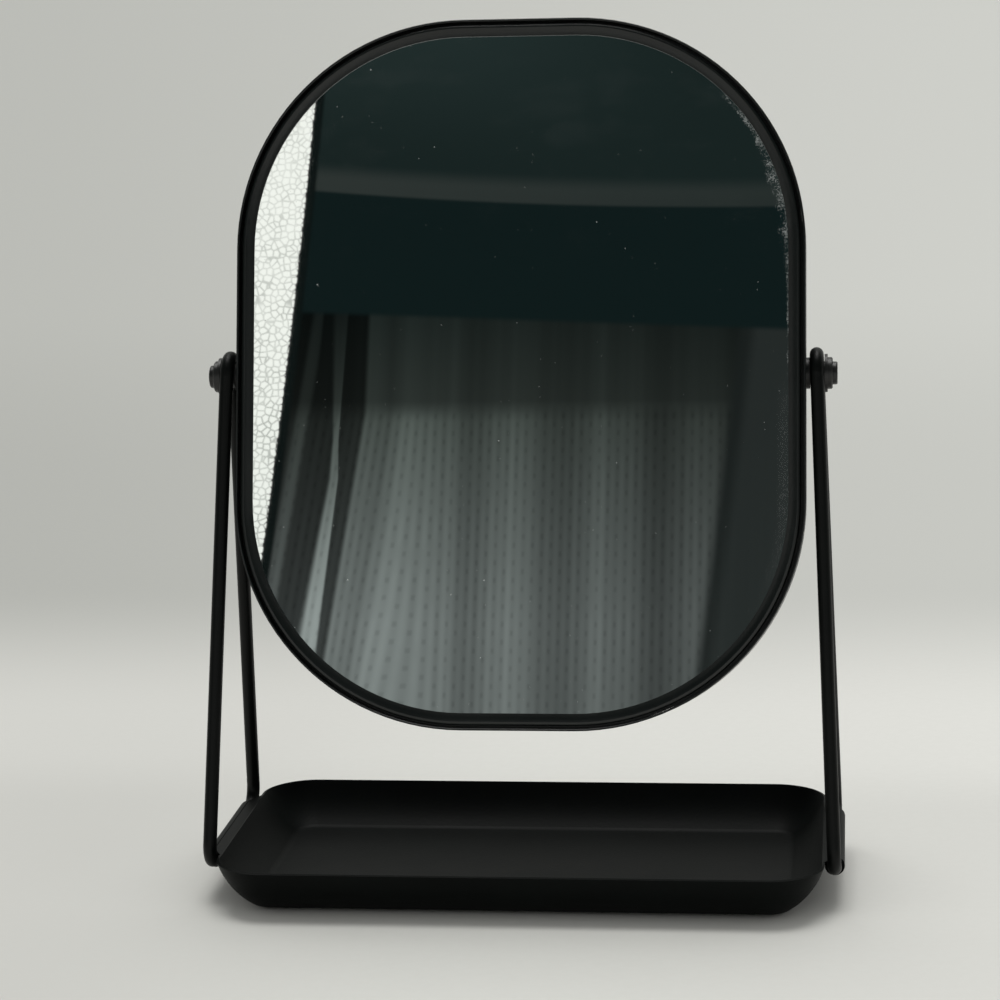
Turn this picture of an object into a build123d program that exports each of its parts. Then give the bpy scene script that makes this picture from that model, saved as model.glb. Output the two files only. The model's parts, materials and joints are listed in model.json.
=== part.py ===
"""Tabletop swivel mirror on two bent-wire side frames over a pressed sheet tray.

Frame: +X to the right, the front faces -Y, +Z up. The origin is on the table, under the
middle of the tray. Sizes are millimetres, angles are degrees.
"""

import os
from math import acos, asin, atan2, cos, degrees, hypot, radians, sin

from build123d import *

# Mirror head
HEAD_WIDTH = 207.0
HEAD_HEIGHT = 258.0
HEAD_CORNER = 83.0
HEAD_TILT = 12.9
PIVOT_HEIGHT = 188.5
HOOP_SHEET = 0.8
HOOP_EDGE_BREAK = 0.25
GROOVE_WIDTH = 1.0
BEZEL_WIDTH = 4.4
BEZEL_SHEET = 0.8
BEZEL_LIP = 0.5
BEZEL_CREST_INSET = 1.4
BEZEL_SLOPE_BULGE = 0.2
GLASS_THICKNESS = 3.0
GLASS_RECESS = 1.4
BOARD_THICKNESS = 1.4
BOARD_CLEARANCE = 0.2
COVER_SHEET = 0.8
COVER_WALL = 4.6
COVER_RECESS = 0.4
COVER_BEND = 2.0
FOAM_LENGTH = 120.0
FOAM_WIDTH = 40.0
FOAM_OFFSET = 58.0

# Pivot hardware, from the hoop outwards
SCREW_DIAMETER = 4.0
SCREW_HEAD_DIAMETER = 8.3
SCREW_HEAD_HEIGHT = 1.75
SCREW_HEAD_ROUND = 0.6
SCREW_SLOT_WIDTH = 0.9
SCREW_SLOT_LENGTH = 4.2
SCREW_SLOT_DEPTH = 1.1
BOSS_SHANK_DIAMETER = 6.0
BOSS_SHANK_LENGTH = 7.0
BOSS_COLLAR_DIAMETER = 11.3
BOSS_COLLAR_THICKNESS = 0.95
FRICTION_WASHER_THICKNESS = 0.5
BUSH_OVERHANG = 0.05
BUSH_FLANGE_DIAMETER = 13.8
BUSH_FLANGE_THICKNESS = 1.1
OUTER_WASHER_DIAMETER = 11.5
OUTER_WASHER_THICKNESS = 1.8
OUTER_WASHER_BEVEL = 0.4

# Wire side frames
WIRE_DIAMETER = 5.0
CROWN_BORE_RADIUS = 4.35
FOOT_SPLAY = 6.0
FOOT_SHARE = 0.668
FOOT_BEND = 7.0
WIRE_BUTT_GAP = 0.4

# Tray
TRAY_DEPTH = 125.6
TRAY_HEIGHT = 17.7
TRAY_CORNER = 20.0
TRAY_SHEET = 1.0
TRAY_WALL_RADIUS = 29.5
TRAY_FOOT_RADIUS = 5.0
TRAY_RIM_SLOPE = 72.0
HEM_LIP = 3.5
HEM_SHARE = 0.5
HEM_WRAP = 265.0
HEM_ROOT_MARGIN = 2.8
HEM_SCORE = 0.3
PAD_DIAMETER = 12.0
PAD_THICKNESS = 1.0
PAD_INSET = 9.0

# Clearances
RUNNING_FIT = 0.05
SEAT_FIT = 0.05
GLASS_PLAY = 0.2
HEM_FIT = 0.1
BRAZE_FIT = 0.1
LOOSE_HOLE = 0.15

SIDES = {"left": -1, "right": 1}

os.makedirs("parts", exist_ok=True)


# ---------------------------------------------------------------- derived places
wire_radius = WIRE_DIAMETER / 2
crown_radius = CROWN_BORE_RADIUS + wire_radius
hem_inner_radius = wire_radius + HEM_FIT
hem_mid_radius = hem_inner_radius + TRAY_SHEET / 2
hem_height = TRAY_HEIGHT - TRAY_SHEET - hem_inner_radius
foot_half_span = FOOT_SHARE * TRAY_DEPTH / 2

hoop_x = HEAD_WIDTH / 2
collar_end = hoop_x + BOSS_COLLAR_THICKNESS
bush_start = collar_end + FRICTION_WASHER_THICKNESS
crown_x = bush_start + BUSH_OVERHANG + wire_radius
hem_x = crown_x + FOOT_SPLAY
tray_half_length = hem_x - HEM_LIP
flange_start = crown_x + wire_radius + BRAZE_FIT
flange_end = flange_start + BUSH_FLANGE_THICKNESS
head_seat = flange_end + OUTER_WASHER_THICKNESS
screw_tip = hoop_x - BOSS_SHANK_LENGTH

head_plane = Plane(
    origin=(0, 0, PIVOT_HEIGHT),
    x_dir=(1, 0, 0),
    z_dir=(0, -cos(radians(HEAD_TILT)), sin(radians(HEAD_TILT))),
)
board_back = BOSS_SHANK_DIAMETER / 2 + BOARD_CLEARANCE
glass_back = board_back + BOARD_THICKNESS
glass_front = glass_back + GLASS_THICKNESS
hoop_front = glass_front + GLASS_RECESS
skirt_inset = HOOP_SHEET + GROOVE_WIDTH
bezel_inner_inset = skirt_inset + BEZEL_WIDTH
glass_inset = skirt_inset + BEZEL_SHEET + GLASS_PLAY
seat_inset = HOOP_SHEET + SEAT_FIT
cover_back = COVER_RECESS - hoop_front


def pivot_plane(side: int, distance: float) -> Plane:
    """Plane square to the pivot axis, facing outwards, at a distance from the middle."""
    return Plane(origin=(side * distance, 0, PIVOT_HEIGHT), x_dir=(0, side, 0), z_dir=(side, 0, 0))


def head_outline(inset: float, mode: Mode = Mode.ADD) -> Sketch:
    """The head's rounded outline, drawn in by an even inset."""
    return RectangleRounded(
        HEAD_WIDTH - 2 * inset,
        HEAD_HEIGHT - 2 * inset,
        HEAD_CORNER - inset,
        mode=mode,
    )


# ---------------------------------------------------------------- wire side frames
# Each frame is one wire: foot run, front leg, crown round the bush, rear leg, foot run.
# Its plane leans out by the splay, so that the foot run lies in the tray's hem.
splay = atan2(hem_x - crown_x, PIVOT_HEIGHT - hem_height)
leg_run = hypot(hem_x - crown_x, PIVOT_HEIGHT - hem_height)
leg_slant = atan2(foot_half_span, leg_run) - asin(crown_radius / hypot(foot_half_span, leg_run))
tangent_x = crown_radius * cos(leg_slant)
tangent_y = crown_radius * sin(leg_slant)

for name, side in SIDES.items():
    wire_plane = Plane(
        origin=(side * crown_x, 0, PIVOT_HEIGHT),
        x_dir=(0, side, 0),
        z_dir=(side * cos(splay), 0, sin(splay)),
    )
    with BuildPart() as wire_frame:
        with BuildLine(wire_plane) as wire_path:
            FilletPolyline(
                (WIRE_BUTT_GAP / 2, -leg_run),
                (foot_half_span, -leg_run),
                (tangent_x, tangent_y),
                radius=FOOT_BEND,
            )
            CenterArc((0, 0), crown_radius, degrees(leg_slant), 180 - 2 * degrees(leg_slant))
            FilletPolyline(
                (-tangent_x, tangent_y),
                (-foot_half_span, -leg_run),
                (-WIRE_BUTT_GAP / 2, -leg_run),
                radius=FOOT_BEND,
            )
        wire_run = wire_path.wire()
        with BuildSketch(Plane(origin=wire_run @ 0, z_dir=wire_run % 0)):
            Circle(wire_radius)
        sweep(path=wire_run)
    wire_frame.part.label = f"wire_frame_{name}"
    export_step(wire_frame.part, f"parts/wire_frame_{name}.step")


# ---------------------------------------------------------------- tray
# The wall is one arc that flows into the floor through a smaller one. The angle where
# they meet follows from the rim's height, so that the wall always reaches the rim.
wall_rise = TRAY_HEIGHT - PAD_THICKNESS - TRAY_SHEET / 2
foot_angle = degrees(
    acos(
        (wall_rise - TRAY_FOOT_RADIUS + TRAY_WALL_RADIUS * cos(radians(TRAY_RIM_SLOPE)))
        / (TRAY_WALL_RADIUS - TRAY_FOOT_RADIUS)
    )
)
wall_reach = TRAY_FOOT_RADIUS * sin(radians(foot_angle)) + TRAY_WALL_RADIUS * (
    sin(radians(TRAY_RIM_SLOPE)) - sin(radians(foot_angle))
)
rim_mid_inset = TRAY_SHEET / 2 * sin(radians(TRAY_RIM_SLOPE))
floor_inset = rim_mid_inset + wall_reach

with BuildPart() as tray:
    with BuildLine(Plane.XY.offset(TRAY_HEIGHT)) as rim_path:
        FilletPolyline(
            (0, -TRAY_DEPTH / 2),
            (tray_half_length, -TRAY_DEPTH / 2),
            (tray_half_length, TRAY_DEPTH / 2),
            (0, TRAY_DEPTH / 2),
            radius=TRAY_CORNER,
        )
    wall_plane = Plane(origin=(0, -TRAY_DEPTH / 2, TRAY_HEIGHT), x_dir=(0, 1, 0), z_dir=(1, 0, 0))
    with BuildSketch(wall_plane):
        with BuildLine():
            floor_run = Line((floor_inset + TRAY_SHEET, -wall_rise), (floor_inset, -wall_rise))
            foot_arc = JernArc(floor_run @ 1, floor_run % 1, TRAY_FOOT_RADIUS, -foot_angle)
            JernArc(foot_arc @ 1, foot_arc % 1, TRAY_WALL_RADIUS, foot_angle - TRAY_RIM_SLOPE)
        trace(line_width=TRAY_SHEET)
    sweep(path=rim_path.wire())
    mirror(about=Plane.YZ)
    with BuildSketch(Plane.XY.offset(PAD_THICKNESS)):
        RectangleRounded(
            2 * (tray_half_length - floor_inset),
            TRAY_DEPTH - 2 * floor_inset,
            TRAY_CORNER - floor_inset,
        )
    extrude(amount=TRAY_SHEET)
    # Rolled hems: a level lip off the rim, wider at its root, scored where the sheet
    # bends, then curled down and round the wire's foot run.
    hem_half = HEM_SHARE * TRAY_DEPTH / 2
    root_half = TRAY_DEPTH / 2 - TRAY_CORNER - HEM_ROOT_MARGIN
    for side in SIDES.values():
        root_x = side * (tray_half_length - rim_mid_inset)
        crease_x = side * hem_x
        with BuildSketch(Plane.XY.offset(TRAY_HEIGHT - TRAY_SHEET)):
            Polygon(
                (root_x, -root_half),
                (crease_x, -hem_half),
                (crease_x, hem_half),
                (root_x, root_half),
                align=None,
            )
        extrude(amount=TRAY_SHEET)
        hem_plane = Plane(origin=(crease_x, 0, hem_height), x_dir=(side, 0, 0), z_dir=(0, -side, 0))
        with BuildSketch(hem_plane):
            with BuildLine():
                CenterArc((0, 0), hem_mid_radius, 90, -HEM_WRAP)
            trace(line_width=TRAY_SHEET)
        extrude(amount=hem_half, both=True)
        with BuildSketch(Plane(origin=(crease_x, 0, TRAY_HEIGHT), x_dir=(side, 0, 0), z_dir=(0, -side, 0))):
            Polygon((-HEM_SCORE, 0), (0, -HEM_SCORE), (HEM_SCORE, 0), align=None)
        extrude(amount=hem_half, both=True, mode=Mode.SUBTRACT)
tray.part.label = "tray"
export_step(tray.part, "parts/tray.step")

pad_x = tray_half_length - floor_inset - PAD_INSET
pad_y = TRAY_DEPTH / 2 - floor_inset - PAD_INSET
pad_spots = {
    "front_left": (-pad_x, -pad_y),
    "front_right": (pad_x, -pad_y),
    "rear_left": (-pad_x, pad_y),
    "rear_right": (pad_x, pad_y),
}
for name, spot in pad_spots.items():
    with BuildPart() as pad:
        with BuildSketch():
            with Locations(spot):
                Circle(PAD_DIAMETER / 2)
        extrude(amount=PAD_THICKNESS)
    pad.part.label = f"tray_pad_{name}"
    export_step(pad.part, f"parts/tray_pad_{name}.step")


# ---------------------------------------------------------------- mirror head
with BuildPart() as hoop:
    with BuildSketch(head_plane.offset(-hoop_front)):
        head_outline(0)
        head_outline(HOOP_SHEET, Mode.SUBTRACT)
    extrude(amount=2 * hoop_front)
    rim_edges = hoop.faces().group_by(Axis(head_plane.origin, head_plane.z_dir))
    chamfer(rim_edges[0].edges() + rim_edges[-1].edges(), HOOP_EDGE_BREAK)
    with BuildSketch(pivot_plane(1, hoop_x)):
        Circle(BOSS_SHANK_DIAMETER / 2 + SEAT_FIT)
    extrude(amount=-HEAD_WIDTH, mode=Mode.SUBTRACT)
hoop.part.label = "mirror_hoop"
export_step(hoop.part, "parts/mirror_hoop.step")

# The bezel is one formed ring: a flange that sits in the hoop, a skirt that leaves the
# groove, a rounded crest and a long inner slope down to the glass.
with BuildPart() as bezel:
    with BuildLine(head_plane) as bezel_path:
        FilletPolyline(
            (0, -HEAD_HEIGHT / 2),
            (HEAD_WIDTH / 2, -HEAD_HEIGHT / 2),
            (HEAD_WIDTH / 2, HEAD_HEIGHT / 2),
            (0, HEAD_HEIGHT / 2),
            radius=HEAD_CORNER,
        )
    bezel_plane = Plane(
        origin=bezel_path.wire() @ 0,
        x_dir=head_plane.y_dir,
        z_dir=head_plane.x_dir,
    )
    with BuildSketch(bezel_plane):
        with BuildLine():
            flange_top = board_back + BEZEL_SHEET
            shoulder = hoop_front - BEZEL_CREST_INSET
            crest_inset = skirt_inset + BEZEL_CREST_INSET
            Polyline(
                (skirt_inset, shoulder),
                (skirt_inset, flange_top),
                (seat_inset, flange_top),
                (seat_inset, board_back),
                (skirt_inset + BEZEL_SHEET, board_back),
                (skirt_inset + BEZEL_SHEET, glass_front),
                (bezel_inner_inset, glass_front),
                (bezel_inner_inset, glass_front + BEZEL_LIP),
            )
            CenterArc((crest_inset, shoulder), BEZEL_CREST_INSET, 90, 90)
            SagittaArc(
                (crest_inset, hoop_front),
                (bezel_inner_inset, glass_front + BEZEL_LIP),
                -BEZEL_SLOPE_BULGE,
            )
        make_face()
    sweep(path=bezel_path.wire())
    mirror(about=Plane.YZ)
bezel.part.label = "front_bezel"
export_step(bezel.part, "parts/front_bezel.step")

with BuildPart() as glass:
    with BuildSketch(head_plane.offset(glass_back)):
        head_outline(glass_inset)
    extrude(amount=GLASS_THICKNESS)
glass.part.label = "mirror_glass"
export_step(glass.part, "parts/mirror_glass.step")

with BuildPart() as board:
    with BuildSketch(head_plane.offset(board_back)):
        head_outline(glass_inset)
    extrude(amount=BOARD_THICKNESS)
board.part.label = "backing_board"
export_step(board.part, "parts/backing_board.step")

with BuildPart() as cover:
    with BuildSketch(head_plane.offset(cover_back)):
        head_outline(seat_inset)
    extrude(amount=COVER_WALL)
    cover_faces = cover.faces().group_by(Axis(head_plane.origin, head_plane.z_dir))
    fillet(cover_faces[0].edges(), COVER_BEND)
    cover_faces = cover.faces().group_by(Axis(head_plane.origin, head_plane.z_dir))
    offset(amount=-COVER_SHEET, openings=cover_faces[-1])
cover.part.label = "back_cover"
export_step(cover.part, "parts/back_cover.step")

foam_back = cover_back + COVER_SHEET
for name, direction in (("lower", -1), ("upper", 1)):
    with BuildPart() as foam:
        with BuildSketch(head_plane.offset(foam_back)):
            with Locations((0, direction * FOAM_OFFSET)):
                Rectangle(FOAM_LENGTH, FOAM_WIDTH)
        extrude(amount=board_back - foam_back)
    foam.part.label = f"foam_pad_{name}"
    export_step(foam.part, f"parts/foam_pad_{name}.step")


# ---------------------------------------------------------------- pivot hardware
for name, side in SIDES.items():
    with BuildPart() as boss:
        with BuildSketch(pivot_plane(side, hoop_x)):
            Circle(BOSS_COLLAR_DIAMETER / 2)
        extrude(amount=BOSS_COLLAR_THICKNESS)
        with BuildSketch(pivot_plane(side, screw_tip)):
            Circle(BOSS_SHANK_DIAMETER / 2)
        extrude(amount=BOSS_SHANK_LENGTH)
        with BuildSketch(pivot_plane(side, screw_tip)):
            Circle(SCREW_DIAMETER / 2 + RUNNING_FIT)
        extrude(amount=BOSS_SHANK_LENGTH + BOSS_COLLAR_THICKNESS, mode=Mode.SUBTRACT)
    boss.part.label = f"pivot_boss_{name}"
    export_step(boss.part, f"parts/pivot_boss_{name}.step")

    with BuildPart() as friction_washer:
        with BuildSketch(pivot_plane(side, collar_end)):
            Circle(BOSS_COLLAR_DIAMETER / 2)
            Circle(SCREW_DIAMETER / 2 + LOOSE_HOLE, mode=Mode.SUBTRACT)
        extrude(amount=FRICTION_WASHER_THICKNESS)
    friction_washer.part.label = f"friction_washer_{name}"
    export_step(friction_washer.part, f"parts/friction_washer_{name}.step")

    with BuildPart() as bush:
        with BuildSketch(pivot_plane(side, bush_start)):
            Circle(CROWN_BORE_RADIUS - SEAT_FIT)
        extrude(amount=flange_start - bush_start)
        with BuildSketch(pivot_plane(side, flange_start)):
            Circle(BUSH_FLANGE_DIAMETER / 2)
        extrude(amount=BUSH_FLANGE_THICKNESS)
        with BuildSketch(pivot_plane(side, bush_start)):
            Circle(SCREW_DIAMETER / 2 + RUNNING_FIT)
        extrude(amount=flange_end - bush_start, mode=Mode.SUBTRACT)
    bush.part.label = f"pivot_bush_{name}"
    export_step(bush.part, f"parts/pivot_bush_{name}.step")

    with BuildPart() as outer_washer:
        with BuildSketch(pivot_plane(side, flange_end)):
            Circle(OUTER_WASHER_DIAMETER / 2)
            Circle(SCREW_DIAMETER / 2 + LOOSE_HOLE, mode=Mode.SUBTRACT)
        extrude(amount=OUTER_WASHER_THICKNESS)
        washer_face = outer_washer.faces().sort_by(Axis((0, 0, 0), (side, 0, 0)))[-1]
        chamfer(washer_face.outer_wire().edges(), OUTER_WASHER_BEVEL)
    outer_washer.part.label = f"outer_washer_{name}"
    export_step(outer_washer.part, f"parts/outer_washer_{name}.step")

    with BuildPart() as screw:
        with BuildSketch(pivot_plane(side, screw_tip)):
            Circle(SCREW_DIAMETER / 2)
        extrude(amount=head_seat - screw_tip)
        with BuildSketch(pivot_plane(side, head_seat)):
            Circle(SCREW_HEAD_DIAMETER / 2)
        extrude(amount=SCREW_HEAD_HEIGHT)
        head_face = screw.faces().sort_by(Axis((0, 0, 0), (side, 0, 0)))[-1]
        fillet(head_face.edges(), SCREW_HEAD_ROUND)
        with BuildSketch(pivot_plane(side, head_seat + SCREW_HEAD_HEIGHT)):
            Rectangle(SCREW_SLOT_LENGTH, SCREW_SLOT_WIDTH)
            Rectangle(SCREW_SLOT_WIDTH, SCREW_SLOT_LENGTH)
        extrude(amount=-SCREW_SLOT_DEPTH, mode=Mode.SUBTRACT)
    screw.part.label = f"pivot_screw_{name}"
    export_step(screw.part, f"parts/pivot_screw_{name}.step")
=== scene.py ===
"""Looks of a black tabletop swivel mirror with a pressed sheet tray.

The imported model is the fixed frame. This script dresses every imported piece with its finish, and
sets a plain pale stage, a soft light, the card that the glass looks at, and the camera.
"""

import json
import logging
import math
from dataclasses import dataclass
from enum import Enum
from typing import Any, Optional, Union

import bpy
from mathutils import Matrix, Vector

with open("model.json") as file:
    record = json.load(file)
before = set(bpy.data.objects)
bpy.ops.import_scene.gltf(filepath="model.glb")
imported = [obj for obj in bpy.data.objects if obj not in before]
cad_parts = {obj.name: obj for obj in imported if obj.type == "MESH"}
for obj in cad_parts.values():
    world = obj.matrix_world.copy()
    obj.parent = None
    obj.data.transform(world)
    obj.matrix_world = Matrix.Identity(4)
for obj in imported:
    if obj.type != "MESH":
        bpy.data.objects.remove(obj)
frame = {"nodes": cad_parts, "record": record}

log = logging.getLogger("swivel_mirror")
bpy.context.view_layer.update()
PIVOT_HEIGHT = 0.1885
HEAD_LEAN = math.radians(12.9)

Colour = tuple[float, float, float]
Point = tuple[float, float, float]
Span = tuple[float, float]


def grey_tone(red: int, green: int, blue: int) -> Colour:
    """Turn a display colour, 0 to 255 a channel, into the linear one that shaders take."""

    def channel(level: int) -> float:
        """Linear value of one display channel."""
        part = level / 255
        return part / 12.92 if part <= 0.04045 else ((part + 0.055) / 1.055) ** 2.4

    return channel(red), channel(green), channel(blue)


class Axis(Enum):
    """The parts of a position, by the name of their output on a Separate XYZ node."""

    X = "X"
    Y = "Y"
    Z = "Z"


class Socket:
    """A shader value that Python's operators can work on."""

    def __init__(self, shader: "NodeWork", link: bpy.types.NodeSocket) -> None:
        """Keep the node tree that the value belongs to and the output that carries it."""
        self.shader = shader
        self.link = link

    def _math(
        self, operation: str, *others: "Operand", first: Optional["Operand"] = None
    ) -> "Socket":
        """Add one Math node.

        Args:
            operation: the Math node's operation.
            others: the inputs after this value.
            first: an input before this value, for the reflected operators.

        Returns:
            The node's result.
        """
        values = [self, *others] if first is None else [first, self]
        return self.shader.node("ShaderNodeMath", {"operation": operation}, dict(enumerate(values)))

    def __add__(self, other: "Operand") -> "Socket":
        """Sum."""
        return self._math("ADD", other)

    __radd__ = __add__

    def __sub__(self, other: "Operand") -> "Socket":
        """Difference."""
        return self._math("SUBTRACT", other)

    def __rsub__(self, other: "Operand") -> "Socket":
        """Difference from a number."""
        return self._math("SUBTRACT", first=other)

    def __mul__(self, other: "Operand") -> "Socket":
        """Product."""
        return self._math("MULTIPLY", other)

    __rmul__ = __mul__

    def __truediv__(self, other: "Operand") -> "Socket":
        """Quotient."""
        return self._math("DIVIDE", other)

    def __pow__(self, other: "Operand") -> "Socket":
        """Power."""
        return self._math("POWER", other)

    def __rpow__(self, other: "Operand") -> "Socket":
        """Power of a number."""
        return self._math("POWER", first=other)

    def __rtruediv__(self, other: "Operand") -> "Socket":
        """Quotient of a number."""
        return self._math("DIVIDE", first=other)

    def __abs__(self) -> "Socket":
        """Size without sign."""
        return self._math("ABSOLUTE")

    def sine(self) -> "Socket":
        """Sine of the value in radians."""
        return self._math("SINE")

    def greatest(self, other: "Operand") -> "Socket":
        """The larger of two values."""
        return self._math("MAXIMUM", other)

    def least(self, other: "Operand") -> "Socket":
        """The smaller of two values."""
        return self._math("MINIMUM", other)

    def step(self, low: float, high: float) -> "Socket":
        """Rise smoothly from 0 at low to 1 at high, or fall where low is the larger.

        Args:
            low: the value that gives 0.
            high: the value that gives 1.

        Returns:
            A factor between 0 and 1.
        """
        rising = low < high
        return self.shader.node(
            "ShaderNodeMapRange",
            {"interpolation_type": "SMOOTHSTEP"},
            {
                "Value": self,
                "From Min": min(low, high),
                "From Max": max(low, high),
                "To Min": 0.0 if rising else 1.0,
                "To Max": 1.0 if rising else 0.0,
            },
        )


Operand = Union[Socket, float, int]


class NodeWork:
    """A node tree that nodes and colour mixes are added to. Materials and the world share it."""

    def __init__(self, tree: bpy.types.NodeTree) -> None:
        """Keep the tree that the nodes go into."""
        self.tree = tree

    def node(
        self,
        kind: str,
        settings: dict[str, Any],
        inputs: dict[Union[str, int], Any],
        output: Union[str, int] = 0,
    ) -> Socket:
        """Add any node.

        Args:
            kind: the node's type.
            settings: its properties, set before its sockets; "stops" fills a colour ramp.
            inputs: values or sockets by input name or number.
            output: the output to hand back, by name or number.

        Returns:
            The chosen output.
        """
        made = self.tree.nodes.new(kind)
        for key, value in settings.items():
            if key == "stops":
                self._fill_ramp(made.color_ramp, value)
            else:
                setattr(made, key, value)
        for key, value in inputs.items():
            if isinstance(value, Socket):
                self.tree.links.new(value.link, made.inputs[key])
            else:
                made.inputs[key].default_value = value
        return Socket(self, made.outputs[output])

    @staticmethod
    def _fill_ramp(ramp: bpy.types.ColorRamp, stops: list[tuple[float, Colour]]) -> None:
        """Write a colour ramp's stops, in rising order."""
        while len(ramp.elements) < len(stops):
            ramp.elements.new(1.0)
        for element, (place, colour) in zip(ramp.elements, stops):
            element.position = place
            element.color = (*colour, 1.0)

    def blend(self, factor: Operand, first: Any, second: Any) -> Socket:
        """Mix two colours.

        Args:
            factor: 0 gives the first, 1 the second.
            first: a colour or a colour socket.
            second: a colour or a colour socket.

        Returns:
            The mixed colour.
        """
        made = self.tree.nodes.new("ShaderNodeMix")
        made.data_type = "RGBA"
        wanted = {"Factor": factor, "A": first, "B": second}
        for socket in made.inputs:
            if socket.enabled and socket.name in wanted:
                value = wanted[socket.name]
                if isinstance(value, Socket):
                    self.tree.links.new(value.link, socket)
                else:
                    socket.default_value = (*value, 1.0) if isinstance(value, tuple) else value
        result = next(socket for socket in made.outputs if socket.enabled)
        return Socket(self, result)


class Shader(NodeWork):
    """One node material, built up call by call."""

    def __init__(self, name: str) -> None:
        """Make the material with its Principled shader and an object-space position.

        Args:
            name: the material's name.
        """
        self.material = bpy.data.materials.new(name)
        self.material.use_nodes = True
        super().__init__(self.material.node_tree)
        self.principled = self.tree.nodes["Principled BSDF"]
        self.output = self.tree.nodes["Material Output"]
        self.position = self.node("ShaderNodeTexCoord", {}, {}, "Object")

    def along(self, axis: Axis) -> Socket:
        """One part of the object-space position, in metres."""
        return self.node("ShaderNodeSeparateXYZ", {}, {0: self.position}, axis.value)

    def noise(
        self,
        size: float,
        detail: float = 2.0,
        roughness: float = 0.5,
        stretch: Point = (1, 1, 1),
    ) -> Socket:
        """Soft random field.

        Args:
            size: width of one blot, in metres.
            detail: octaves.
            roughness: strength of the finer octaves.
            stretch: scale of the position along each axis.

        Returns:
            A value around 0.5.
        """
        place = self.node(
            "ShaderNodeVectorMath", {"operation": "MULTIPLY"}, {0: self.position, 1: stretch}
        )
        return self.node(
            "ShaderNodeTexNoise",
            {},
            {"Vector": place, "Scale": 1 / size, "Detail": detail, "Roughness": roughness},
            "Fac",
        )

    def specks(self, spacing: float, radius: float, keep: float) -> Socket:
        """Scattered round specks.

        Args:
            spacing: mean distance between the cells, in metres.
            radius: radius of the largest speck, in cells.
            keep: share of the cells that hold a speck.

        Returns:
            1 on a speck and 0 elsewhere.
        """
        settings = {"feature": "F1", "voronoi_dimensions": "3D"}
        inputs = {"Vector": self.position, "Scale": 1 / spacing, "Randomness": 1.0}
        distance = self.node("ShaderNodeTexVoronoi", settings, inputs, "Distance")
        cell = self.node("ShaderNodeTexVoronoi", settings, inputs, "Color")
        chance = self.node("ShaderNodeSeparateColor", {}, {0: cell}, "Red")
        size = self.node("ShaderNodeSeparateColor", {}, {0: cell}, "Green")
        reach = distance / (size * radius + radius * 0.25)
        return reach.step(1.0, 0.6) * chance.step(1 - keep - 0.001, 1 - keep + 0.001)

    def bump(self, height: Socket, depth: float) -> Socket:
        """Turn a height of 0 to 1 into a normal.

        Args:
            height: the height field.
            depth: what a height of 1 stands for, in metres.

        Returns:
            The bumped normal.
        """
        return self.node(
            "ShaderNodeBump", {}, {"Strength": 1.0, "Distance": depth, "Height": height}
        )

    def feed(self, **values: Any) -> None:
        """Set or link the Principled shader's sockets, named with underscores for spaces."""
        for name, value in values.items():
            socket = self.principled.inputs[name.replace("_", " ")]
            if isinstance(value, Socket):
                self.tree.links.new(value.link, socket)
            else:
                socket.default_value = (*value, 1.0) if isinstance(value, tuple) else value


# ------------------------------------------------------------------ finishes
@dataclass(frozen=True)
class PowderCoat:
    """Baked powder paint on steel: fine orange peel, faint clouding, a few dust specks."""

    name: str
    colour: Colour
    roughness: float
    sheen: float = 0.3
    peel_size: float = 0.0011
    peel_depth: float = 0.00004
    grain_size: float = 0.00028
    grain_depth: float = 0.000012
    clouding: float = 0.18
    dust: float = 0.02
    dust_spacing: float = 0.004
    dust_radius: float = 0.055
    dust_cover: float = 0.55
    dust_colour: Colour = grey_tone(150, 152, 148)
    cloud_size: float = 0.035

    def make(self) -> bpy.types.Material:
        """Build the material."""
        paint = Shader(self.name)
        cloud = paint.noise(self.cloud_size, 3.0, 0.55)
        grain = paint.noise(self.grain_size, 1.0)
        peel = paint.noise(self.peel_size, 1.0, 0.4)
        light = tuple(channel * (1 + self.clouding) + 0.0003 for channel in self.colour)
        dark = tuple(channel * (1 - self.clouding) for channel in self.colour)
        base = paint.blend(cloud.step(0.35, 0.65), dark, light)
        fleck = paint.specks(self.dust_spacing, self.dust_radius, self.dust)
        base = paint.blend(fleck * self.dust_cover, base, self.dust_colour)
        uneven = (cloud - 0.5) * 0.12 + (grain - 0.5) * 0.1
        relief = peel * (self.peel_depth / self.grain_depth) + grain
        paint.feed(
            Base_Color=base,
            Roughness=uneven + self.roughness + fleck * 0.2,
            Normal=paint.bump(relief, self.grain_depth),
            Specular_IOR_Level=self.sheen,
        )
        return paint.material


@dataclass(frozen=True)
class BlackHardware:
    """Black zinc on turned steel: turning marks round the pivot axis and rubbed edges."""

    name: str
    colour: Colour
    axis_height: float
    ring_pitch: float = 0.00022
    relief: float = 0.00001
    bare: Colour = grey_tone(72, 70, 64)
    bare_share: float = 0.4

    def make(self) -> bpy.types.Material:
        """Build the material."""
        steel = Shader(self.name)
        across = steel.along(Axis.Y)
        up = steel.along(Axis.Z) - self.axis_height
        radius = (across * across + up * up) ** 0.5
        rings = (radius * (2 * math.pi / self.ring_pitch)).sine() * 0.5 + 0.5
        wear = steel.noise(0.0016, 3.0, 0.6)
        worn = wear.step(0.58, 0.74)
        steel.feed(
            Base_Color=steel.blend(worn * self.bare_share, self.colour, self.bare),
            Metallic=worn * self.bare_share,
            Roughness=wear * 0.16 + 0.32,
            Normal=steel.bump(rings * 0.6 + wear, self.relief),
        )
        return steel.material


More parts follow.
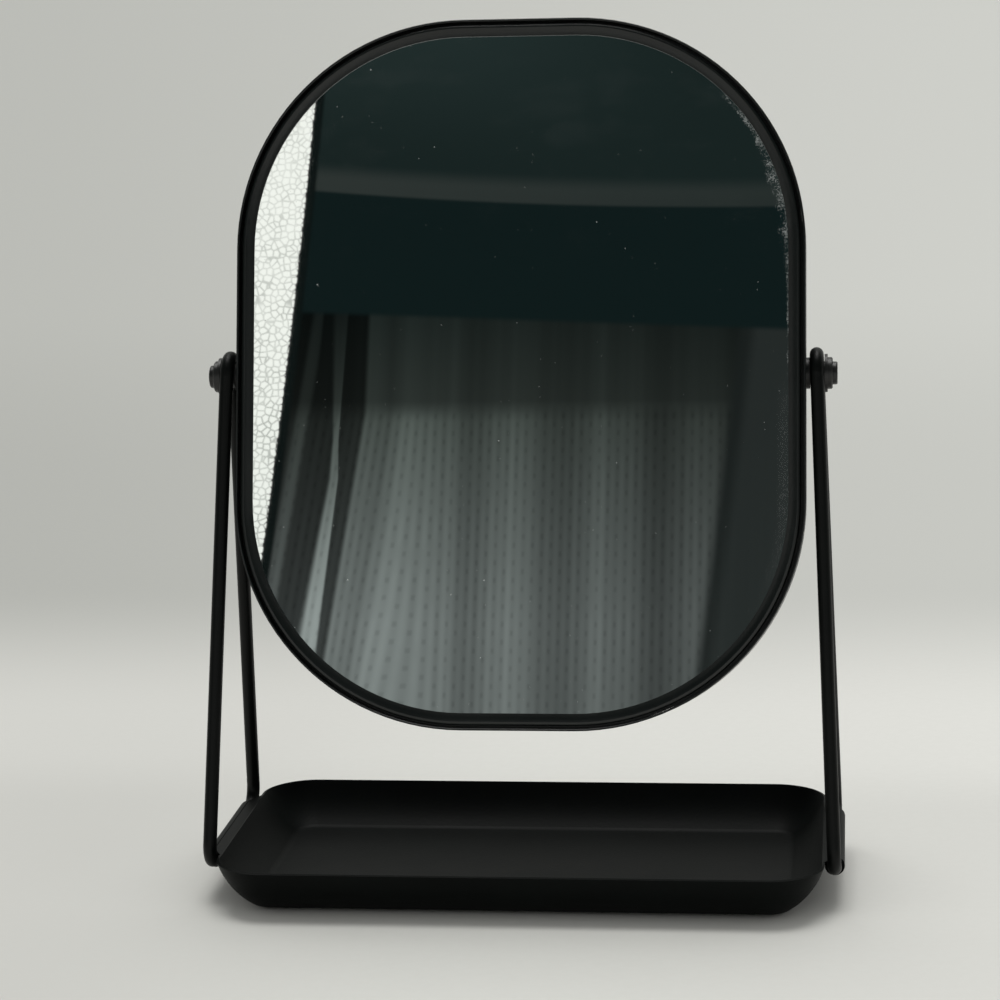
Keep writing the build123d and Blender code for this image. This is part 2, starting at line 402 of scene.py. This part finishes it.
@dataclass(frozen=True)
class SilveredGlass:
    """Mirror glass with fine dust, faint smears and crumbled silver along its right edge.

    Heights are metres up the face from the pivot line, and insets are metres in from the edge of
    the seen glass. A span gives the values at which an effect starts and is full.
    """

    name: str
    silver: Colour
    centre_height: float
    tilt: float
    half_width: float = 0.0973
    half_height: float = 0.1228
    corner: float = 0.0768
    clear_roughness: float = 0.01
    dirt: Colour = grey_tone(160, 166, 166)
    dust_cover: float = 0.5
    fine_dust_cover: float = 0.28
    right_side: Span = (0.045, 0.075)
    wear_start: Span = (-0.005, 0.012)
    wear_end: Span = (0.108, 0.09)
    wear_reach: float = 0.001
    wear_cover: float = 0.48
    patch_start: Span = (0.03, 0.055)
    patch_end: Span = (0.095, 0.07)
    patch_reach: float = 0.0034
    haze_inset: Span = (0.005, 0.0015)
    haze_start: Span = (-0.09, -0.05)
    haze_end: Span = (0.002, -0.015)
    smear_start: Span = (0.02, 0.1)
    smear_cover: float = 0.012

    def _inset(self, glass: Shader) -> tuple[Socket, Socket]:
        """Distance in from the right edge of the seen glass, and the height up its face.

        Args:
            glass: the shader that the sockets belong to.

        Returns:
            The distance and the height, in metres.
        """
        across = glass.along(Axis.X)
        up = (glass.along(Axis.Z) - self.centre_height) / math.cos(self.tilt)
        outward = (across - (self.half_width - self.corner)).greatest(0.0)
        upward = (abs(up) - (self.half_height - self.corner)).greatest(0.0)
        return self.corner - (outward * outward + upward * upward) ** 0.5, up

    def _crumbs(self, glass: Shader, inset: Socket, up: Socket, side: Socket) -> Socket:
        """Crumbled silver that hugs the edge and spreads in one patch.

        Args:
            glass: the shader that the sockets belong to.
            inset: distance in from the edge.
            up: height up the face.
            side: 1 at the right side.

        Returns:
            How much of the surface the crumbs cover.
        """
        patch = up.step(*self.patch_start) * up.step(*self.patch_end)
        reach = patch * self.patch_reach + self.wear_reach
        along = up.step(*self.wear_start) * up.step(*self.wear_end)
        hug = (inset / reach).step(1.0, 0.0) * side * along
        clumps = glass.noise(0.0006, 3.0, 0.75) * 0.65 + glass.noise(0.0035, 2.0) * 0.35
        return (clumps + hug * 0.13).step(0.565, 0.74) * hug.step(0.0, 0.3) * self.wear_cover

    def _haze(self, glass: Shader, inset: Socket, up: Socket) -> Socket:
        """Narrow grainy haze along the lower part of the edge."""
        strip = inset.step(*self.haze_inset) * up.step(*self.haze_start) * up.step(*self.haze_end)
        return strip * (glass.noise(0.0009, 1.0).step(0.55, 0.7) * 0.05 + 0.014)

    def _smears(self, glass: Shader, up: Socket) -> Socket:
        """Faint wiped smears over the upper part."""
        wiped = glass.noise(0.03, 4.0, 0.65, (1.0, 1.0, 2.2)).step(0.5, 0.8)
        return wiped * up.step(*self.smear_start) * self.smear_cover

    def make(self) -> bpy.types.Material:
        """Build the material."""
        glass = Shader(self.name)
        inset, up = self._inset(glass)
        side = glass.along(Axis.X).step(*self.right_side)
        coarse = glass.specks(0.006, 0.05, 0.35) * self.dust_cover
        dust = coarse.greatest(glass.specks(0.0028, 0.085, 0.35) * self.fine_dust_cover)
        film = self._haze(glass, inset, up) * side + self._smears(glass, up)
        soil = dust.greatest(self._crumbs(glass, inset, up, side)).greatest(film)
        glass.feed(
            Base_Color=glass.blend(soil, self.silver, self.dirt),
            Metallic=1 - soil * 0.9,
            Roughness=soil.step(0.05, 1.0) * 0.5 + self.clear_roughness,
        )
        return glass.material


@dataclass(frozen=True)
class PlainStock:
    """A dull solid material, such as rubber, nylon, foam or fibreboard, with its own grain."""

    name: str
    colour: Colour
    roughness: float
    grain: float
    depth: float

    def make(self) -> bpy.types.Material:
        """Build the material."""
        stock = Shader(self.name)
        grain = stock.noise(self.grain, 3.0, 0.65)
        light = tuple(min(1.0, channel * 1.35 + 0.002) for channel in self.colour)
        stock.feed(
            Base_Color=stock.blend(grain.step(0.3, 0.7), self.colour, light),
            Roughness=grain * 0.1 + self.roughness,
            Normal=stock.bump(grain, self.depth),
        )
        return stock.material


class Finish(Enum):
    """The finishes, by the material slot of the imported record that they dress."""

    wire_paint = PowderCoat("wire_powder_coat", grey_tone(4, 6, 5), 0.42, sheen=0.18)
    head_paint = PowderCoat("head_powder_coat", grey_tone(7, 12, 11), 0.36, sheen=0.5)
    tray_paint = PowderCoat("tray_powder_coat", grey_tone(4, 7, 6), 0.53, sheen=0.08, dust=0.05)
    black_hardware = BlackHardware("black_pivot_steel", grey_tone(20, 20, 19), PIVOT_HEIGHT)
    mirror_glass = SilveredGlass("silvered_glass", (0.86, 0.9, 0.895), PIVOT_HEIGHT, HEAD_LEAN)
    hardboard = PlainStock("brown_fibreboard", grey_tone(96, 68, 44), 0.75, 0.0012, 0.00006)
    foam = PlainStock("grey_foam", grey_tone(70, 70, 70), 0.85, 0.0009, 0.0002)
    washer_plastic = PlainStock("black_nylon", grey_tone(24, 24, 24), 0.5, 0.0007, 0.00001)
    pad_rubber = PlainStock("black_rubber", grey_tone(20, 20, 20), 0.8, 0.0006, 0.00003)


# ------------------------------------------------------------------ the object
@dataclass
class SwivelMirror:
    """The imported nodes, each dressed with the finish of its material slot."""

    nodes: dict[str, bpy.types.Object]
    record: dict[str, Any]
    smooth_angle: float = math.radians(28)

    def dress(self) -> None:
        """Give each node its finish and smooth its curved faces."""
        slots = {part["node"]: part["material_slot"] for part in self.record["subparts"]}
        made = {finish.name: finish.value.make() for finish in Finish}
        for name, node in self.nodes.items():
            node.data.materials.clear()
            node.data.materials.append(made[slots[name]])
            self.smooth(node)
            log.info("dressed %s with %s", name, slots[name])

    def smooth(self, node: bpy.types.Object) -> None:
        """Shade a node smooth up to the sharp angle, without touching its vertices."""
        mesh = node.data
        mesh.polygons.foreach_set("use_smooth", [True] * len(mesh.polygons))
        mesh.set_sharp_from_angle(angle=self.smooth_angle)


# ------------------------------------------------------------------ the stage
@dataclass
class PaleStage:
    """A pale floor that runs far back and turns into the wall's tone, and pale air above it.

    The tones go from left to right across a fan that opens from one point on the floor. A span
    gives the values at which a change starts and is full, in metres for the floor.
    """

    reach: float = 60.0
    near_left: Colour = grey_tone(207, 207, 203)
    near_right: Colour = grey_tone(221, 221, 217)
    # Floor tone behind the object: partly backdrop tone, partly painted light that lifts the shade
    # the object casts behind it.
    behind_left_with_painted_light: Colour = grey_tone(214, 214, 210)
    behind_right_with_painted_light: Colour = grey_tone(230, 230, 226)
    # Painted light: the floor colour of a pool round the object, lighter to lift the shade that the
    # object casts there.
    painted_light_pool: Colour = grey_tone(236, 237, 232)
    low_left: Colour = grey_tone(180, 181, 177)
    low_right: Colour = grey_tone(201, 202, 198)
    far_left: Colour = grey_tone(187, 188, 184)
    far_right: Colour = grey_tone(209, 210, 206)
    fan_x: float = 0.12
    fan_y: float = -1.067
    fan_nearest_y: float = -0.6
    fan_span: Span = (-0.33, 0.08)
    behind_painted_light_span: Span = (0.08, 0.17)
    turn_span: Span = (0.22, 0.52)
    far_span: Span = (0.8, 1.9)
    # Painted light pool: where it fades out, how much narrower it is across, and how strongly it
    # shows.
    painted_light_pool_span: Span = (0.36, 0.05)
    painted_light_pool_narrowing: float = 1.9
    painted_light_pool_share: float = 0.5
    speckle: Colour = grey_tone(200, 200, 194)
    speckle_share: float = 0.05
    air_light: Colour = (0.5, 0.5, 0.49)
    seen_air: Colour = grey_tone(198, 199, 194)
    dark_room: Colour = grey_tone(60, 71, 70)
    bright_horizon: Colour = grey_tone(244, 247, 245)
    rear_air: Colour = grey_tone(200, 202, 197)
    horizon_rise: Span = (0.34, 0.08)
    horizon_ahead: Span = (-0.7, -0.92)
    rear_ahead: Span = (0.1, 0.7)

    def build(self) -> None:
        """Make the floor and the world."""
        mesh = bpy.data.meshes.new("pale_floor")
        r = self.reach
        mesh.from_pydata([(-r, -r, 0), (r, -r, 0), (r, r, 0), (-r, r, 0)], [], [(0, 1, 2, 3)])
        floor = bpy.data.objects.new("pale_floor", mesh)
        bpy.context.scene.collection.objects.link(floor)
        mesh.materials.append(self._floor_paint())
        self._air()

    def _floor_paint(self) -> bpy.types.Material:
        """A pale floor that turns into the wall's tone behind the object, with a pool of painted
        light round the object; the lighter band behind it is partly backdrop tone and partly
        painted light.
        """
        floor = Shader("pale_floor_paint")
        across = floor.along(Axis.X)
        back = floor.along(Axis.Y)
        depth = back.greatest(self.fan_nearest_y) - self.fan_y
        slant = ((across - self.fan_x) / depth).step(*self.fan_span)
        low = floor.blend(slant, self.low_left, self.low_right)
        far = floor.blend(slant, self.far_left, self.far_right)
        near = floor.blend(slant, self.near_left, self.near_right)
        behind = floor.blend(slant, self.behind_left_with_painted_light, self.behind_right_with_painted_light)
        # Partly painted light: the floor behind the object is lightened against the shade cast
        # there.
        near = floor.blend(back.step(*self.behind_painted_light_span), near, behind)
        # Painted light: a pool of lighter floor round the object that lifts the object's own shade.
        side = across * self.painted_light_pool_narrowing
        middle = (side * side + back * back) ** 0.5
        near = floor.blend(middle.step(*self.painted_light_pool_span) * self.painted_light_pool_share, near, self.painted_light_pool)
        wall = floor.blend(back.step(*self.far_span), low, far)
        tone = floor.blend(back.step(*self.turn_span), near, wall)
        speckle = floor.noise(0.004, 4.0, 0.6).step(0.35, 0.65)
        floor.feed(
            Base_Color=floor.blend(speckle * self.speckle_share, tone, self.speckle),
            Roughness=0.75,
            Specular_IOR_Level=0.2,
        )
        return floor.material

    def _air(self) -> None:
        """World light, soft and even. Gloss sees a dark room with a bright low front instead."""
        world = bpy.data.worlds.new("pale_air")
        bpy.context.scene.world = world
        world.use_nodes = True
        tree = world.node_tree
        tree.nodes.clear()
        sky = NodeWork(tree)
        direction = sky.node("ShaderNodeTexCoord", {}, {}, "Generated")
        ahead = sky.node("ShaderNodeSeparateXYZ", {}, {0: direction}, Axis.Y.value)
        rise = sky.node("ShaderNodeSeparateXYZ", {}, {0: direction}, Axis.Z.value)
        horizon = rise.step(*self.horizon_rise) * ahead.step(*self.horizon_ahead)
        room = sky.blend(horizon, self.dark_room, self.bright_horizon)
        room = sky.blend(ahead.step(*self.rear_ahead), room, self.rear_air)
        glossy = sky.node("ShaderNodeLightPath", {}, {}, "Is Glossy Ray")
        seen = sky.node("ShaderNodeLightPath", {}, {}, "Is Camera Ray")
        colour = sky.blend(glossy, self.air_light, room)
        colour = sky.blend(seen, colour, self.seen_air)
        air = sky.node("ShaderNodeBackground", {}, {"Color": colour, "Strength": 1.0})
        out = tree.nodes.new("ShaderNodeOutputWorld")
        tree.links.new(air.link, out.inputs["Surface"])


@dataclass
class RoomCard:
    """What the glass looks at: a dark room over a sheer grey drape, with a bright pane at one side.

    Only gloss sees the card, so it lights and hides nothing. It stands behind the camera.
    Places and heights on it are metres in the shared frame. A span gives the values at which a
    change starts and is full.
    """

    distance: float = -2.4
    left: float = -1.0
    right: float = 0.5
    bottom: float = 0.52
    top: float = 1.43
    strength: float = 1.1

    band_height: float = 1.173
    band_turn_x: float = 0.02
    band_lift: float = 0.09
    band_below: Span = (-0.0015, 0.0035)
    band_above: Span = (0.042, 0.018)
    band: Colour = grey_tone(48, 53, 51)
    dark_below: Colour = grey_tone(16, 27, 27)
    dark_above: Colour = grey_tone(25, 35, 34)
    dark_glow: Colour = grey_tone(36, 47, 46)

    drape_top: float = 1.0185
    drape_slope: float = -0.045
    lit_height: float = 0.915
    lit_edge: float = 0.011
    fold_pitch: float = 0.115
    fold_crest: float = -0.285
    fold_depth: float = 0.085
    fold_fade: float = 0.95
    fold_full_x: float = -0.46
    fold_begin: Span = (-0.471, -0.463)
    shaded: float = 0.45
    edge_fold: float = 0.24
    edge_fold_start: Span = (-0.555, -0.547)
    edge_fold_end: Span = (-0.531, -0.539)
    fold_lean: float = 0.12
    fold_lean_span: Span = (-0.36, -0.47)
    fold_upright_span: Span = (-0.51, -0.53)
    bend_x: float = -0.5015
    bend_height: float = -0.085
    bend_lean: float = 0.113
    stripe_pitch: float = 0.0111
    dot_pitch: float = 0.0215
    tone_bottom: float = -0.365
    tone_height: float = 0.5
    lit_low: Colour = grey_tone(117, 122, 120)
    lit_high: Colour = grey_tone(76, 82, 78)
    dim_low: Colour = grey_tone(50, 55, 52)
    dim_high: Colour = grey_tone(33, 40, 38)
    hem_x: float = -0.0112
    hem_height: float = 1.009
    hem_lean: float = 0.111
    past_hem: Colour = grey_tone(27, 31, 30)
    far_past_hem: Colour = grey_tone(38, 42, 41)

    pane_top_x: float = -0.5487
    pane_top_z: float = 1.3119
    pane_lean: float = 0.043
    pane_bow: float = 0.0366
    pane_frame_span: Span = (0.015, 0.009)
    pane_frame: Colour = grey_tone(13, 19, 18)
    pane_high: Colour = grey_tone(247, 246, 239)
    pane_low: Colour = grey_tone(242, 242, 235)
    pebble_line: Colour = grey_tone(146, 148, 142)
    pebble: float = 0.0082

    def build(self) -> None:
        """Make the card and hide it from all but glossy rays."""
        corners = (
            (self.left, self.distance, self.bottom),
            (self.left, self.distance, self.top),
            (self.right, self.distance, self.top),
            (self.right, self.distance, self.bottom),
        )
        mesh = bpy.data.meshes.new("room_card")
        mesh.from_pydata(corners, [], [(0, 1, 2, 3)])
        card = bpy.data.objects.new("room_card", mesh)
        bpy.context.scene.collection.objects.link(card)
        mesh.materials.append(self._light())
        for ray in ("camera", "diffuse", "shadow", "transmission", "volume_scatter"):
            setattr(card, f"visible_{ray}", False)

    def _light(self) -> bpy.types.Material:
        """The card's light, worked out from the place on it."""
        room = Shader("room_card_light")
        x = room.along(Axis.X)
        z = room.along(Axis.Z)
        hung = (z - x * self.drape_slope).step(self.drape_top + 0.004, self.drape_top - 0.005)
        view = room.blend(hung, self._upper_room(room, x, z), self._drape(room, x, z))
        view = self._pane(room, x, z, view)
        light = room.node("ShaderNodeEmission", {}, {"Color": view, "Strength": self.strength})
        room.tree.links.new(light.link, room.output.inputs["Surface"])
        return room.material

    def _upper_room(self, room: Shader, x: Socket, z: Socket) -> Socket:
        """Dark upper room with one faint band that is sharp below and soft above."""
        across = (self.band_turn_x - x).greatest(0.0)
        over = z - (self.band_height + across * across * self.band_lift)
        band = over.step(*self.band_below) * over.step(*self.band_above)
        band = band * (across * 0.6 + 0.6).least(0.9)
        dark = room.blend(over.step(0.0, 0.03), self.dark_below, self.dark_above)
        glow = over.step(0.03, 0.24) * x.step(0.0, -0.4) * 0.8
        return room.blend(band, room.blend(glow, dark, self.dark_glow), self.band)

    def _drape(self, room: Shader, x: Socket, z: Socket) -> Socket:
        """Sheer drape, dim at the top, with soft folds that lean more towards the left.

        Args:
            room: the card's shader.
            x: place across the card.
            z: height on the card.

        Returns:
            The light of the drape and of the dark strip past its hem.
        """
        above = z - self.lit_height
        upright = above.greatest(0.0) * x.step(*self.fold_upright_span)
        lean = x.step(*self.fold_lean_span) * self.fold_lean
        along = x - lean * (above.least(0.0) + upright)
        lit = above.step(self.lit_edge, -self.lit_edge)
        shape = self._folds(along) + self._bent_fold(x, above)
        shape = shape + (1 - lit) * x.step(-0.46, -0.43) * (0.8 - shape) * 0.6
        ripple = room.node(
            "ShaderNodeTexNoise",
            {"noise_dimensions": "1D"},
            {"W": along, "Scale": 26.0, "Detail": 2.0, "Roughness": 0.55},
            "Fac",
        )
        shape = shape * ((ripple - 0.5) * 0.4 + 1.0)
        shape = shape * (lit * self._weave(room, along, z) + 1.0)
        tone = room.node(
            "ShaderNodeValToRGB",
            {"stops": [
                (0.2, self.lit_low),
                (0.7, self.lit_high),
                (0.755, self.dim_low),
                (1.0, self.dim_high),
            ]},
            {"Fac": (above - self.tone_bottom) / self.tone_height},
        )
        drape = room.node(
            "ShaderNodeVectorMath", {"operation": "SCALE"}, {0: tone, "Scale": shape ** 2.2}
        )
        past = x - (z - self.hem_height) * self.hem_lean - self.hem_x
        beyond = room.blend(past.step(0.004, 0.022), self.past_hem, self.far_past_hem)
        return room.blend(past.step(-0.012, 0.005) * 0.92, drape, beyond)

    def _folds(self, along: Socket) -> Socket:
        """Brightness across the drape: a shaded strip, then even folds that fade to the right."""
        turn = (along - self.fold_crest) * (2 * math.pi / self.fold_pitch) + math.pi / 2
        fade = (along - self.fold_full_x) * self.fold_fade
        folds = 1.0 - fade + turn.sine() * self.fold_depth
        edge = along.step(*self.edge_fold_start) * along.step(*self.edge_fold_end)
        strip = edge * self.edge_fold + self.shaded
        return strip + (folds - strip) * along.step(*self.fold_begin)

    def _bent_fold(self, x: Socket, above: Socket) -> Socket:
        """One narrow fold that bends halfway and opens downwards."""
        off = x - (above - self.bend_height).least(0.0) * self.bend_lean - self.bend_x
        narrow = off / (abs(above + 0.035) * 0.03 + 0.0032)
        narrow = narrow.step(-1.7, -0.5) * narrow.step(1.25, 0.85)
        return narrow * above.step(0.35, -0.25) * 0.72

    def _weave(self, room: Shader, along: Socket, z: Socket) -> Socket:
        """Fine stripes with staggered rows of dark dots between them, around 0."""
        stripes = (along * (2 * math.pi / self.stripe_pitch)).sine() * 0.5 + 0.5
        column = along / self.stripe_pitch + 0.75
        stagger = room.node("ShaderNodeMath", {"operation": "FLOOR"}, {0: column}) * math.pi
        rows = (z * (2 * math.pi / self.dot_pitch) + stagger).sine().step(0.2, 1.0)
        dots = rows * stripes.step(0.4, 0.05)
        patchy = room.noise(0.06, 2.0).step(0.35, 0.6)
        return (stripes - 0.5) * (patchy * 0.06 + 0.035) - dots * 0.07

    def _pane(self, room: Shader, x: Socket, z: Socket, view: Socket) -> Socket:
        """Bright pebbled pane with a dark frame, laid over the rest of the view.

        Args:
            room: the card's shader.
            x: place across the card.
            z: height on the card.
            view: the light without the pane.

        Returns:
            The light with the pane.
        """
        down = self.pane_top_z - z
        past = x - (self.pane_top_x - down * self.pane_lean - down * down * self.pane_bow)
        view = room.blend(past.step(*self.pane_frame_span), view, self.pane_frame)
        outline = room.node(
            "ShaderNodeTexVoronoi",
            {"feature": "DISTANCE_TO_EDGE"},
            {"Vector": room.position, "Scale": 1 / self.pebble, "Randomness": 0.8},
            "Distance",
        ).step(0.17, 0.02)
        shade = room.noise(0.018, 2.0).step(0.35, 0.65) * 0.3 + 0.5
        shade = shade * (down.step(0.0, 0.5) * 0.45 + 0.55)
        white = room.blend(down.step(0.2, 0.6), self.pane_high, self.pane_low)
        pane = room.blend(outline * shade, white, self.pebble_line)
        ragged = past + (outline - 0.5) * 0.0012
        return room.blend(ragged.step(0.0012, -0.0004), view, pane)


@dataclass
class SoftLight:
    """Plain even light: one broad soft source, high above and a little behind the object."""

    strength: float = 1.6
    spread: float = math.radians(37.0)
    towards: Point = (0.03, -0.25, -1.0)
    colour: Colour = (1.0, 0.995, 0.975)

    def build(self) -> None:
        """Make the light."""
        data = bpy.data.lights.new("soft_light", "SUN")
        data.energy = self.strength
        data.angle = self.spread
        data.color = self.colour
        lamp = bpy.data.objects.new("soft_light", data)
        lamp.rotation_euler = Vector(self.towards).to_track_quat("-Z", "Y").to_euler()
        bpy.context.scene.collection.objects.link(lamp)


@dataclass
class PhotoCamera:
    """The photograph's viewpoint, fitted to the tray, the frames and the head."""

    place: Point = (0.119676, -1.066656, 0.337281)
    turn: float = math.radians(6.854)
    dip: float = math.radians(10.291)
    roll: float = math.radians(-1.306)
    focal_pixels: float = 2973.7
    frame_pixels: float = 1000.0
    sensor: float = 36.0
    farthest: float = 200.0

    def build(self) -> None:
        """Make the camera and hand it to the scene."""
        ahead = Vector((
            -math.sin(self.turn) * math.cos(self.dip),
            math.cos(self.turn) * math.cos(self.dip),
            -math.sin(self.dip),
        ))
        level = Vector((math.cos(self.turn), math.sin(self.turn), 0.0))
        upright = level.cross(ahead)
        right = level * math.cos(self.roll) + upright * math.sin(self.roll)
        up = upright * math.cos(self.roll) - level * math.sin(self.roll)
        data = bpy.data.cameras.new("photo_camera")
        data.sensor_width = self.sensor
        data.lens = self.focal_pixels / self.frame_pixels * self.sensor
        data.clip_end = self.farthest
        camera = bpy.data.objects.new("photo_camera", data)
        axes = Matrix((right, up, -ahead)).transposed().to_4x4()
        camera.matrix_world = Matrix.Translation(self.place) @ axes
        bpy.context.scene.collection.objects.link(camera)
        bpy.context.scene.camera = camera


def main() -> None:
    """Build the scene in order."""
    logging.basicConfig(level=logging.INFO, format="%(name)s: %(message)s")
    for part in (PhotoCamera(), PaleStage(), RoomCard(), SoftLight()):
        part.build()
        log.info("built %s", type(part).__name__)
    SwivelMirror(frame["nodes"], frame["record"]).dress()
    bpy.context.scene.view_settings.view_transform = "Standard"


if __name__ == "__main__":
    main()
